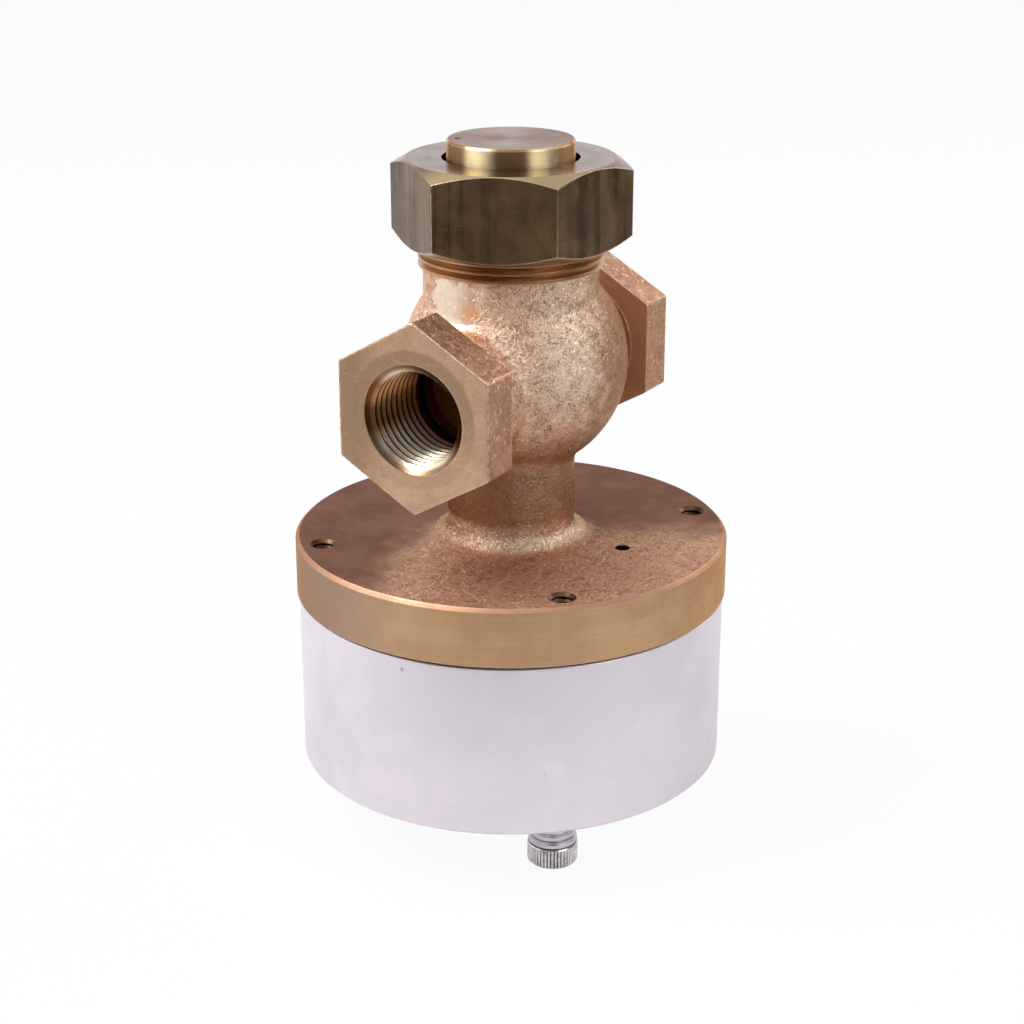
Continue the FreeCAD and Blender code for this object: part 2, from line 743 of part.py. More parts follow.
def make_packing_nut(bore, top):
    body = new_body("packing_nut")
    thread_turns = int(d.gland_thread_turns.number)
    pitch = (top - gland_shoulder) / (thread_turns + 1)
    depth = d.gland_thread_depth
    rod(body, "Sleeve", d.gland_thread_radius, gland_shoulder, top - gland_shoulder)
    prism(body, "Head", d.gland_flats, gland_bottom, d.gland_head_height)
    for turn in range(thread_turns):
        level = gland_shoulder + pitch * (turn + 1)
        groove = [(d.gland_thread_radius - depth, level), (d.gland_thread_radius, level - depth),
                  (d.gland_thread_radius, level + depth)]
        turned(body, "Thread%d" % turn, groove, cut=True)
    rod(body, "Bore", bore + d.clear_play, gland_bottom, top - gland_bottom, cut=True)


# Piston, its rings and the spring

def make_piston():
    body = new_body("piston")
    side = cylinder_bore_radius - d.piston_clearance
    seal_face = cylinder_bore_radius - d.seal_fit
    groove_floor = seal_face - d.seal_section_radius * 2 - d.fit_play
    groove_top = piston_top - d.seal_drop + d.seal_section_radius + d.fit_play * 2
    groove_bottom = piston_top - d.seal_drop - d.seal_section_radius - d.fit_play * 2
    wear_floor = seal_face - d.wear_ring_thickness - d.fit_play
    wear_bottom = piston_bottom + d.wear_ring_rise
    wear_top = wear_bottom + d.wear_ring_height
    bore = d.stem_end_radius + d.fit_play
    bevel = d.piston_bevel
    turned(body, "Disc", [(bore, recess_roof), (d.piston_recess_radius, recess_roof),
                          (d.piston_recess_radius, piston_bottom), (side - bevel, piston_bottom),
                          (side, piston_bottom + bevel), (side, wear_bottom), (wear_floor, wear_bottom),
                          (wear_floor, wear_top), (side, wear_top), (side, groove_bottom),
                          (groove_floor, groove_bottom), (groove_floor, groove_top), (side, groove_top),
                          (side, piston_top - bevel), (side - bevel, piston_top), (bore, piston_top)])
    make_ring("wear_ring", wear_floor + d.fit_play, seal_face, wear_bottom + d.fit_play,
              wear_top - d.fit_play)
    seal = new_body("piston_seal")
    torus = seal.newObject("PartDesign::AdditiveTorus", "Ring")
    attach(seal, torus, "XY_Plane", shift=(ZERO, ZERO, piston_top - d.seal_drop))
    bind(torus, "Radius1", seal_face - d.seal_section_radius)
    bind(torus, "Radius2", d.seal_section_radius)
    seal.Tip = torus


def make_spring_seat():
    """The plate under the spring, with the boss that meets the packing nut at full lift."""
    body = new_body("spring_seat")
    bore = d.stem_end_radius + d.fit_play
    neck = d.stem_radius + d.fit_play
    turned(body, "Plate", [(bore, piston_top), (d.spring_plate_radius, piston_top),
                           (d.spring_plate_radius, spring_floor), (d.stop_boss_radius, spring_floor),
                           (d.stop_boss_radius, stop_top), (neck, stop_top), (neck, spring_floor),
                           (bore, spring_floor)])


def make_return_spring():
    body = new_body("return_spring")
    sketch = body.newObject("Sketcher::SketchObject", "Wire")
    start = spring_floor + d.spring_wire_radius + d.spring_end_gap
    attach(body, sketch, "XZ_Plane")
    centre = FreeCAD.Vector(d.spring_radius.number, start.number, 0)
    wire = Part.Circle(centre, FreeCAD.Vector(0, 0, 1), d.spring_wire_radius.number)
    sketch.addGeometry(wire, False)
    rules = [("Radius", 0, d.spring_wire_radius), ("DistanceX", -1, 1, 0, 3, d.spring_radius),
             ("DistanceY", -1, 1, 0, 3, start)]
    for rule in rules:
        place_in_list = sketch.addConstraint(Sketcher.Constraint(*rule[:-1], rule[-1].number))
        bind(sketch, "Constraints[%d]" % place_in_list, rule[-1])
    spring = body.newObject("PartDesign::AdditiveHelix", "Coils")
    spring.Profile = sketch
    spring.ReferenceAxis = (sketch, ["V_Axis"])
    spring.Mode = "height-turns-angle"
    end = pocket_roof - d.spring_wire_radius - d.spring_end_gap
    bind(spring, "Height", end - start)
    bind(spring, "Turns", d.spring_turns)
    body.Tip = spring


# Air cylinder and what fastens it

def make_cylinder():
    body = new_body("cylinder")
    edge = d.cylinder_edge
    side = cylinder_radius
    bore = cylinder_bore_radius
    turned(body, "Cup", [(ZERO, cylinder_bottom), (side - edge, cylinder_bottom),
                         (side, cylinder_bottom + edge), (side, cylinder_top - edge / 2),
                         (side - edge / 2, cylinder_top), (bore, cylinder_top), (bore, cylinder_inside),
                         (ZERO, cylinder_inside)])
    spot = clocked(screw_circle_radius, d.screw_angle)
    hole = rod(body, "ScrewHole", d.screw_hole_radius, cylinder_bottom, d.cylinder_height,
               centre=spot, cut=True)
    recess = rod(body, "ScrewRecess", d.screw_recess_radius, cylinder_bottom, d.screw_recess_depth,
                 centre=spot, cut=True)
    repeat_round(body, "ScrewHoles", [hole, recess], d.screw_count)
    rod(body, "AirPort", d.fitting_thread_radius + d.fit_play, cylinder_bottom, d.cylinder_floor,
        centre=clocked(fitting_circle_radius, d.fitting_angle), cut=True)


def make_cylinder_gasket():
    body = make_ring("cylinder_gasket", cylinder_bore_radius + d.gasket_inset,
                     cylinder_radius - d.gasket_inset, cylinder_top, flange_bottom)
    hole = rod(body, "ScrewHole", d.screw_hole_radius, cylinder_top, d.gasket_thickness,
               centre=clocked(screw_circle_radius, d.screw_angle), cut=True)
    repeat_round(body, "ScrewHoles", [hole], d.screw_count)


def make_cylinder_screws():
    """Four socket screws, from their recesses in the cylinder up into the flange."""
    seat = cylinder_bottom + d.screw_recess_depth
    head_bottom = seat - d.screw_head_height
    tip = -d.screw_tip_depth
    screws = []
    count = int(d.screw_count.number)
    for index in range(count):
        centre = clocked(screw_circle_radius, d.screw_angle + 360 * index / count)
        head = primitive("Part::Cylinder", "ScrewHead%d" % index, centre, head_bottom,
                         Radius=d.screw_head_radius, Height=d.screw_head_height)
        shank = primitive("Part::Cylinder", "ScrewShank%d" % index, centre, seat,
                          Radius=d.screw_radius, Height=tip - seat)
        socket = primitive("Part::Prism", "ScrewSocket%d" % index, centre, head_bottom,
                           Circumradius=d.screw_socket_flats / (2 * COS30), Height=d.screw_socket_depth)
        socket.Polygon = 6
        whole = doc.addObject("Part::Fuse", "ScrewBlank%d" % index)
        whole.Base = head
        whole.Tool = shank
        screw = doc.addObject("Part::Cut", "Screw%d" % index)
        screw.Base = whole
        screw.Tool = socket
        screws.append(screw)
    group = doc.addObject("Part::Compound", "cylinder_screws")
    group.Links = screws
    place(group)


def primitive(kind, name, centre, bottom, **sizes):
    """A Part primitive standing at a place on the level plane."""
    feature = doc.addObject(kind, name)
    for axis, length in zip("xyz", (centre[0], centre[1], bottom)):
        bind(feature, "Placement.Base." + axis, length)
    for side, length in sizes.items():
        bind(feature, side, length)
    return feature


# Air tube fitting

def turned_at(body, name, points, spot):
    """A piece turned about an upright axis that stands away from the stem."""
    across, deep = spot
    return turned(body, name, points, shift=(across, ZERO, -deep))


def make_fitting():
    spot = clocked(fitting_circle_radius, d.fitting_angle)
    washer_bottom = cylinder_bottom - d.fitting_washer_thickness
    hex_bottom = washer_bottom - d.fitting_hex_height
    ring_high = hex_bottom - d.fitting_neck_length
    ring_low = ring_high - d.fitting_ring_height
    collar_high = ring_low - d.fitting_groove_width
    collar_low = collar_high - d.fitting_collar_height
    tube_nut_top = collar_low - d.tube_nut_gap
    tube_nut_bottom = tube_nut_top - d.tube_nut_height
    ferrule_bottom = tube_nut_bottom + d.tube_nut_floor + d.fit_play
    ferrule_top = ferrule_bottom + d.ferrule_height
    spigot_end = ferrule_top + d.fit_play
    thread = d.fitting_thread_radius
    passage = d.air_passage_radius
    socket_roof = spigot_end + d.tube_socket_depth
    body = new_body("fitting_body")
    turned_at(body, "Core", [
        (passage, cylinder_inside), (thread, cylinder_inside), (thread, hex_bottom),
        (d.fitting_neck_radius, hex_bottom), (d.fitting_neck_radius, ring_high),
        (d.fitting_ring_radius - d.fitting_ring_bevel, ring_high),
        (d.fitting_ring_radius, ring_high - d.fitting_ring_bevel), (d.fitting_ring_radius, ring_low),
        (d.fitting_spigot_radius, ring_low), (d.fitting_spigot_radius, collar_high),
        (d.fitting_collar_radius - d.fitting_collar_bevel, collar_high),
        (d.fitting_collar_radius, collar_high - d.fitting_collar_bevel),
        (d.fitting_collar_radius, collar_low), (d.fitting_spigot_radius, collar_low),
        (d.fitting_spigot_radius, spigot_end), (d.tube_radius + d.fit_play, spigot_end),
        (d.tube_radius + d.fit_play, socket_roof), (passage, socket_roof)], spot)
    prism(body, "Hexagon", d.fitting_flats, hex_bottom, d.fitting_hex_height, centre=spot,
          turn=d.fitting_angle)
    rod(body, "Passage", passage, hex_bottom, d.fitting_hex_height, centre=spot, cut=True)
    washer = new_body("fitting_washer")
    turned_at(washer, "Ring", [(thread + d.fit_play, washer_bottom), (d.fitting_flats / 2, washer_bottom),
                               (d.fitting_flats / 2, cylinder_bottom),
                               (thread + d.fit_play, cylinder_bottom)], spot)
    make_tube_nut(spot, tube_nut_bottom, tube_nut_top)
    ferrule = new_body("ferrule")
    hole = d.tube_radius + d.fit_play
    turned_at(ferrule, "Cone", [(hole, ferrule_bottom), (d.fitting_spigot_radius, ferrule_bottom),
                                (d.fitting_spigot_radius - d.ferrule_taper, ferrule_top),
                                (hole, ferrule_top)], spot)


def make_tube_nut(spot, bottom, top):
    body = new_body("tube_nut")
    outer = d.tube_nut_radius
    bevel = d.tube_nut_bevel
    inside = d.fitting_spigot_radius + d.clear_play
    mouth = d.tube_radius + d.clear_play
    floor_top = bottom + d.tube_nut_floor
    edge = d.tube_nut_edge
    turned_at(body, "Sleeve", [(mouth, bottom), (outer - edge, bottom), (outer, bottom + edge),
                               (outer, top - bevel), (outer - bevel / 2, top), (inside, top),
                               (inside, floor_top), (mouth, floor_top)], spot)
    knurl_body(body, spot, bottom, d.tube_nut_height - bevel)


def knurl_body(body, spot, bottom, height):
    """Straight grooves round the sleeve."""
    across, deep = spot
    inner = d.tube_nut_radius - d.knurl_depth
    outer = d.tube_nut_radius + d.knurl_depth / 2
    half_width = d.knurl_depth * 1.2
    notch = [(across + inner, deep), (across + outer, deep - half_width), (across + outer, deep + half_width)]
    sketch = closed_sketch(body, "KnurlOutline", notch, plane="XY_Plane", shift=(ZERO, ZERO, bottom))
    groove = body.newObject("PartDesign::Pocket", "Knurl")
    groove.Profile = sketch
    groove.Reversed = True
    bind(groove, "Length", height)
    axis_sketch = body.newObject("Sketcher::SketchObject", "FittingAxis")
    attach(body, axis_sketch, "XZ_Plane", shift=(across, ZERO, -deep))
    nut_top = FreeCAD.Vector(0, d.tube_nut_height.number, 0)
    axis_sketch.addGeometry(Part.LineSegment(FreeCAD.Vector(0, 0, 0), nut_top), True)
    pattern = body.newObject("PartDesign::PolarPattern", "Knurls")
    pattern.Originals = [groove]
    pattern.Axis = (axis_sketch, ["V_Axis"])
    pattern.Angle = 360
    bind(pattern, "Occurrences", d.knurl_count)
    body.Tip = pattern


def write_parts():
    """Stop on any failed object, then write each sub-part under its own name."""
    doc.recompute()
    failed = [item.Name for item in doc.Objects if {"Invalid", "Error"} & set(item.State)]
    if failed:
        raise RuntimeError("objects that failed: " + ", ".join(failed))
    os.makedirs("parts", exist_ok=True)
    kept = [item for item in doc.Objects
            if item.TypeId == "PartDesign::Body" or item.Name == "cylinder_screws"]
    for item in kept:
        if item.Shape.isNull() or not item.Shape.isValid():
            raise RuntimeError("bad shape: " + item.Label)
        item.Shape.exportStep("parts/%s.step" % item.Label)
        box = item.Shape.BoundBox
        print("%-18s solids %d  volume %9.1f  z %7.2f %7.2f" % (
            item.Label, len(item.Shape.Solids), item.Shape.Volume, box.ZMin, box.ZMax))


make_valve_body()
make_seat_ring()
make_stem_group()
make_packing()
make_piston()
make_spring_seat()
make_return_spring()
make_cylinder()
make_cylinder_gasket()
make_cylinder_screws()
make_fitting()
make_ring("bonnet_gasket", bonnet_bore_radius, d.crown_radius, rim, collar_bottom)
make_bonnet_cap()
make_union_nut()
write_parts()
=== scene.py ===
"""Blowdown valve: a finish for every solid, a pale studio and the camera.

Blender works in metres, in the part's own frame: origin on the port axis, +Z up the stem. The sizes
below and the lengths in the textures are millimetres.
"""
import math

import bpy
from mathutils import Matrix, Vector


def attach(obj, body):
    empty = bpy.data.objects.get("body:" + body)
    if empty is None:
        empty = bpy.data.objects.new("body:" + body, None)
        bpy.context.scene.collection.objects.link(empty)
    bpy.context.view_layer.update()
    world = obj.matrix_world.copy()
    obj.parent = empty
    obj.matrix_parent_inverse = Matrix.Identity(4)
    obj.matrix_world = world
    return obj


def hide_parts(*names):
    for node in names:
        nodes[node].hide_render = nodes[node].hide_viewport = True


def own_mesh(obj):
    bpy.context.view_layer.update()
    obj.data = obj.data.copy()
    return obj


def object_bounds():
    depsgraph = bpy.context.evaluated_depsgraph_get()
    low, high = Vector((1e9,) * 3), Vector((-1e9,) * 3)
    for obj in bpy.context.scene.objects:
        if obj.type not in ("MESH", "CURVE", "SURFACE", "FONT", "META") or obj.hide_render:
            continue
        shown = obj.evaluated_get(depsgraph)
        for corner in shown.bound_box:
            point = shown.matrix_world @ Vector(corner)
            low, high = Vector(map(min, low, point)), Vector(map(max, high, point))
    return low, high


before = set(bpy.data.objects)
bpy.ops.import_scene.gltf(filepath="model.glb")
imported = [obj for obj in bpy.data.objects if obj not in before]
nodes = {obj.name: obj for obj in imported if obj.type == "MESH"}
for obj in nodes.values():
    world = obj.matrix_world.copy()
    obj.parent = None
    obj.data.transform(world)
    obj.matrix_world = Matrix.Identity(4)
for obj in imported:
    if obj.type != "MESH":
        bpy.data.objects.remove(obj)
cad_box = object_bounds()

MM = 0.001
STEM_X = 36.0
FLANGE_TOP = -33.4
FLANGE_RADIUS = 44.45
NUT_BEVEL_FOOT = 40.5
KNURL_AXIS = (18.42, -19.83)
KNURL_RIB_RADIUS = 5.08
KNURL_GROOVE_RADIUS = 4.86
THREAD_CREST_RADIUS = 9.4
THREAD_ROOT_RADIUS = 10.3

# Bounds by which faces get their finish. A height, and reaches from the stem axis:
CROWN_FOOT = 22.5
CROWN_REACH = 18.6
CAVITY_RADIUS = 12.6
CAVITY_REACH = 16.0
NECK_REACH = 17.0
BEVEL_WIDTH = 1.4
NUT_FLAT_REACH = 20.2
CAP_MARK_REACH = 11.0

# Reaches from the port axis, and distances from the stem along it:
CORE_RADIUS = 12.0
THREAD_REACH = 11.6
PORT_NECK_RADIUS = 13.2
THREAD_X = 15.9
HEX_BACK_X = 25.0
HEX_SIDE_X = 28.2
PORT_FACE_X = 37.1

# How far off a border a face may lie, how squarely it has to face a way, and the rise of a bevel:
MARGIN = 0.1
FACING = 0.9
RISE = 0.3

# Level directions: towards the inlet's front, to its right, and into the room.
FRONT = (-0.869, -0.495, 0.0)
RIGHT = (0.495, -0.869, 0.0)
ROOM_SIDE = (-0.476, -0.881, 0.0)

# Places and directions of painted marks: a highlight spot and a direction of shade on the cast body, and the
# bands of painted reflection round the cap.
PAINTED_HIGHLIGHT_SPOT = (20.5, 3.0, 16.8)
PAINTED_SHADE_DIRECTION = (0.80, -0.60, 0.0)
REFLECTION_BAND_COUNT = 6.0
REFLECTION_BAND_PHASE = 0.03

# Tints of the metals at a glancing angle.
BRONZE_GLANCE = (0.80, 0.60, 0.47, 1.0)
FLANGE_GLANCE = (0.66, 0.60, 0.58, 1.0)
BORE_GLANCE = (0.74, 0.48, 0.28, 1.0)
INSIDE_GLANCE = (0.36, 0.17, 0.08, 1.0)


# Node trees

class Graph:
    """Short calls that build a shader node tree."""

    def __init__(self, tree):
        self.tree = tree

    def node(self, kind, **settings):
        made = self.tree.nodes.new(kind)
        for key, value in settings.items():
            setattr(made, key, value)
        return made

    def feed(self, socket, value):
        if isinstance(value, bpy.types.NodeSocket):
            self.tree.links.new(value, socket)
        elif isinstance(value, (tuple, list)) and len(value) == 3 and socket.type == "RGBA":
            socket.default_value = (*value, 1.0)
        else:
            socket.default_value = value

    def vector(self, operation, first, second=None, scale=None):
        made = self.node("ShaderNodeVectorMath", operation=operation)
        self.feed(made.inputs[0], first)
        if second is not None:
            self.feed(made.inputs[1], second)
        if scale is not None:
            made.inputs["Scale"].default_value = scale
        return made.outputs["Value" if operation in ("LENGTH", "DOT_PRODUCT") else "Vector"]

    def math(self, operation, first, second=0.0):
        made = self.node("ShaderNodeMath", operation=operation)
        self.feed(made.inputs[0], first)
        self.feed(made.inputs[1], second)
        return made.outputs[0]

    def plus(self, first, second):
        return self.math("ADD", first, second)

    def minus(self, first, second):
        return self.math("SUBTRACT", first, second)

    def times(self, first, second):
        return self.math("MULTIPLY", first, second)

    def step(self, value, low, high, out_low=0.0, out_high=1.0):
        """A soft step from out_low to out_high while value goes from low to high."""
        made = self.node("ShaderNodeMapRange", interpolation_type="SMOOTHSTEP")
        for socket, number in zip(made.inputs, (value, low, high, out_low, out_high)):
            self.feed(socket, number)
        return made.outputs[0]

    def split(self, vector):
        made = self.node("ShaderNodeSeparateXYZ")
        self.feed(made.inputs[0], vector)
        return made.outputs

    def join(self, *parts):
        made = self.node("ShaderNodeCombineXYZ")
        for socket, part in zip(made.inputs, parts):
            self.feed(socket, part)
        return made.outputs[0]

    def blend(self, share, first, second):
        """Two shaders mixed."""
        made = self.node("ShaderNodeMixShader")
        for socket, value in zip(made.inputs, (share, first, second)):
            self.feed(socket, value)
        return made.outputs[0]

    def sees_background(self, mirrored):
        """1 for rays of the camera or through glass, and the share mirrored for those off metal."""
        seen = self.node("ShaderNodeLightPath").outputs
        direct = self.math("MAXIMUM", seen["Is Camera Ray"], seen["Is Transmission Ray"])
        return self.math("MAXIMUM", direct, self.times(seen["Is Glossy Ray"], mirrored))


class Finish(Graph):
    """A node material. Its textures are placed and sized in millimetres of the part's frame."""

    def __init__(self, name):
        self.material = bpy.data.materials.new(name)
        self.material.use_nodes = True
        super().__init__(self.material.node_tree)
        self.shader = self.tree.nodes["Principled BSDF"]
        metres = self.node("ShaderNodeTexCoord").outputs["Object"]
        self.place = self.vector("SCALE", metres, scale=1.0 / MM)

    def noise(self, scale, detail=4.0, roughness=0.55, where=None, stretch=None, warp=0.0):
        spot = where or self.place
        if stretch:
            spot = self.vector("MULTIPLY", spot, stretch)
        made = self.node("ShaderNodeTexNoise")
        self.feed(made.inputs["Vector"], spot)
        for key, value in (("Scale", scale), ("Detail", detail), ("Roughness", roughness),
                           ("Distortion", warp)):
            made.inputs[key].default_value = value
        return made.outputs[0]

    def ragged(self, scale, reach, detail=3.0, roughness=0.55):
        """A wandering length, up to half of reach to either side, that makes a border uneven."""
        return self.times(self.minus(self.noise(scale, detail, roughness), 0.5), reach)

    def cells(self, scale):
        """The distance to the middle of the nearest of many scattered cells."""
        made = self.node("ShaderNodeTexVoronoi")
        self.feed(made.inputs["Vector"], self.place)
        made.inputs["Scale"].default_value = scale
        return made.outputs["Distance"]

    def mix(self, share, first, second, blend="MIX"):
        """Two colours mixed, by the node's sockets for colours."""
        made = self.node("ShaderNodeMix", data_type="RGBA", blend_type=blend)
        self.feed(made.inputs[0], share)
        self.feed(made.inputs[6], first)
        self.feed(made.inputs[7], second)
        return made.outputs[2]

    def around_stem(self):
        """The distance from the stem axis, and the height."""
        x, y, z = self.split(self.place)
        return self.vector("LENGTH", self.join(self.minus(x, STEM_X), y, 0.0)), z

    def around_port(self):
        """The distance from the port axis, and the length along it."""
        x, y, z = self.split(self.place)
        return self.vector("LENGTH", self.join(0.0, y, z)), x

    def toward(self, direction):
        """How far a spot lies beyond the stem axis in a level direction."""
        spot = self.vector("SUBTRACT", self.place, (STEM_X, 0.0, 0.0))
        return self.vector("DOT_PRODUCT", spot, direction)

    def bump(self, height, distance, under=None):
        made = self.node("ShaderNodeBump")
        made.inputs["Strength"].default_value = 1.0
        made.inputs["Distance"].default_value = distance * MM
        self.feed(made.inputs["Height"], height)
        if under is not None:
            self.feed(made.inputs["Normal"], under)
        return made.outputs[0]

    def soft_edges(self, radius):
        """The normal with its sharp edges rounded, and how close a spot is to such an edge."""
        made = self.node("ShaderNodeBevel", samples=6)
        made.inputs["Radius"].default_value = radius * MM
        flat = self.node("ShaderNodeNewGeometry").outputs["Normal"]
        alike = self.vector("DOT_PRODUCT", made.outputs[0], flat)
        return made.outputs[0], self.step(alike, 0.995, 0.8)

    def finish(self, colour, roughness, normal=None, metallic=1.0, **sockets):
        self.feed(self.shader.inputs["Base Color"], colour)
        self.feed(self.shader.inputs["Roughness"], roughness)
        self.shader.inputs["Metallic"].default_value = metallic
        if normal is not None:
            self.feed(self.shader.inputs["Normal"], normal)
        for key, value in sockets.items():
            self.shader.inputs[key.replace("_", " ")].default_value = value
        return self.material


# Finishes

def cast_metal(name, base, second, glint, pit, relief, rough, sparkle, pits, globe=False):
    """Sand-cast bronze: pebbled skin, bright grains, dark squiggly furrows and slow colour drift."""
    f = Finish(name)
    drift = f.noise(0.10, 3.0)
    blotch = f.noise(0.35, 3.0, 0.6)
    pebble = f.noise(0.85, 5.0, 0.62, warp=0.8)
    fine = f.noise(2.6, 3.0, 0.6)
    sand = f.noise(0.55, 3.0, 0.7, warp=1.2)
    furrows = f.noise(0.95, 2.0, 0.5, warp=1.6)
    furrow = f.step(f.math("ABSOLUTE", f.minus(furrows, 0.5)), 0.045, 0.010)
    furrow = f.times(furrow, f.step(blotch, 0.40, 0.52, 0.3, 1.0))
    colour = f.mix(f.step(drift, 0.38, 0.64), base, second)
    colour = f.mix(f.step(blotch, 0.52, 0.68, 0.0, 0.25), colour, pit)
    colour = f.mix(f.step(pebble, 0.34, 0.42, 0.5, 0.0), colour, pit)
    colour = f.mix(f.step(sand, 0.30, 0.42, 0.25, 0.0), colour, pit)
    colour = f.mix(f.times(furrow, pits), colour, pit)
    colour = f.mix(f.step(pebble, 0.54, 0.66, 0.0, sparkle), colour, glint)
    colour = f.mix(f.step(fine, 0.57, 0.68, 0.0, sparkle * 0.7), colour, glint)
    height = f.plus(f.times(pebble, 0.8), f.times(fine, 0.10))
    height = f.plus(height, f.times(sand, 0.5))
    height = f.minus(height, f.times(furrow, 0.22))
    # On the globe, globe_marks adds a painted highlight and painted shade.
    if globe:
        colour, height = globe_marks(f, colour, height, glint, pit)
    shine = f.step(f.noise(0.8), 0.3, 0.7, *rough)
    edge_normal, edge = f.soft_edges(0.8)
    worn = f.times(edge, f.step(f.noise(0.9), 0.38, 0.55, 0.0, 0.9))
    colour = f.mix(worn, colour, glint)
    return f.finish(colour, shine, f.bump(height, 0.40 * relief, edge_normal), Specular_Tint=BRONZE_GLANCE)


def globe_marks(f, colour, height, glint, pit):
    """A spot beside the crown made smooth with a painted highlight, painted shade on the neck, towards the
    outlet end and on the lower globe, and on the neck root a painted highlight on its right and painted
    shade on its left.
    """
    painted_highlight_tone, neck_shade_tone = (0.93, 0.77, 0.62), (0.13, 0.045, 0.018)
    lower_shade_tone, root_shade_tone = (0.44, 0.24, 0.12), (0.34, 0.17, 0.10)
    z = f.split(f.place)[2]
    uneven = f.ragged(0.35, 9.0, 4.0, 0.65)
    right = f.toward(RIGHT)

    # A spot made smooth, with a painted highlight.
    aside = f.vector("MULTIPLY", f.vector("SUBTRACT", f.place, PAINTED_HIGHLIGHT_SPOT), (1.0, 1.0, 0.8))
    smooth_highlight = f.step(f.plus(f.vector("LENGTH", aside), uneven), 7.5, 4.5, 0.0, 0.85)
    colour = f.mix(smooth_highlight, colour, painted_highlight_tone)
    height = f.times(height, f.minus(1.0, smooth_highlight))

    # Painted shade on the neck under the globe, stronger on its left.
    under_globe_shade = f.times(f.step(z, -12.0, -19.0), f.step(right, 3.0, -8.0, 0.5, 0.96))
    neck_shade = f.times(under_globe_shade, f.step(z, -30.5, -28.0))
    colour = f.mix(neck_shade, colour, neck_shade_tone)
    height = f.times(height, f.minus(1.0, f.times(neck_shade, 0.6)))

    # Painted shade towards the outlet end of the globe.
    outlet_shade = f.plus(f.vector("DOT_PRODUCT", f.place, PAINTED_SHADE_DIRECTION), uneven)
    colour = f.mix(f.step(outlet_shade, 33.0, 47.0, 0.0, 0.88), colour, pit)
    # Painted shade on the globe's lower part.
    colour = f.mix(f.step(z, -5.0, -14.0, 0.0, 0.45), colour, lower_shade_tone)

    # Painted highlight on the neck root's right side, and painted shade on its left.
    level = f.plus(z, f.times(uneven, 0.25))
    root_highlight = f.times(f.step(level, -30.2, -31.6, 0.0, 0.35), f.step(right, -12.0, -4.0))
    root_shade = f.times(f.step(level, -29.5, -31.0, 0.0, 0.55), f.step(right, -4.0, -12.0))
    colour = f.mix(root_highlight, colour, glint)
    return f.mix(root_shade, colour, root_shade_tone), height


def flange_metal(name, smooth_tones, brushed_tone, sandy_tones, sandy_pit, sandy_glint, foot_highlight_tone,
                 stain_tone):
    """The flange's top: brushed and smooth behind and to the left, sand-rough towards the front, with a
    painted highlight round the neck's foot towards the front and right.
    """
    f = Finish(name)
    front, right = f.toward(FRONT), f.toward(RIGHT)
    uneven = f.ragged(0.16, 14.0)
    nearer = f.step(f.plus(front, uneven), -6.0, 9.0)
    leaning = f.plus(right, f.times(front, 0.3))
    coarse = f.times(nearer, f.step(f.plus(leaning, uneven), -24.0, -10.0))
    pebble = f.noise(0.50, 4.0, 0.6, warp=0.8)
    fine = f.noise(1.6, 3.0, 0.6)
    brush = f.noise(1.3, 4.0, 0.6, stretch=(1.0, 0.12, 1.0))
    cloud = f.step(f.noise(0.11, 4.0, 0.6), 0.38, 0.64)
    smooth = f.mix(cloud, *smooth_tones)
    smooth = f.mix(f.step(brush, 0.50, 0.70, 0.0, 0.22), smooth, brushed_tone)
    sandy = f.mix(cloud, *sandy_tones)
    sandy = f.mix(f.step(pebble, 0.38, 0.50, 0.45, 0.0), sandy, sandy_pit)
    sandy = f.mix(f.step(fine, 0.53, 0.66, 0.0, 0.55), sandy, sandy_glint)
    colour = f.mix(coarse, smooth, sandy)
    # Painted highlight round the foot of the neck, towards the front and right.
    from_stem = f.plus(f.around_stem()[0], f.ragged(0.7, 6.0, 4.0, 0.7))
    foot = f.times(f.step(from_stem, 18.0, 15.6), f.step(right, -14.0, 0.0, 0.1, 0.65))
    colour = f.mix(f.times(foot, f.step(front, -8.0, 4.0)), colour, foot_highlight_tone)
    stain = f.step(f.noise(0.28, 4.0, 0.7), 0.60, 0.72, 0.0, 0.4)
    colour = f.mix(stain, colour, stain_tone)
    height = f.plus(f.times(pebble, 0.75), f.times(fine, 0.25))
    height = f.times(height, f.step(coarse, 0.0, 1.0, 0.10, 1.0))
    return f.finish(colour, f.step(coarse, 0.0, 1.0, 0.36, 0.50), f.bump(height, 0.7),
                    Specular_Tint=FLANGE_GLANCE)


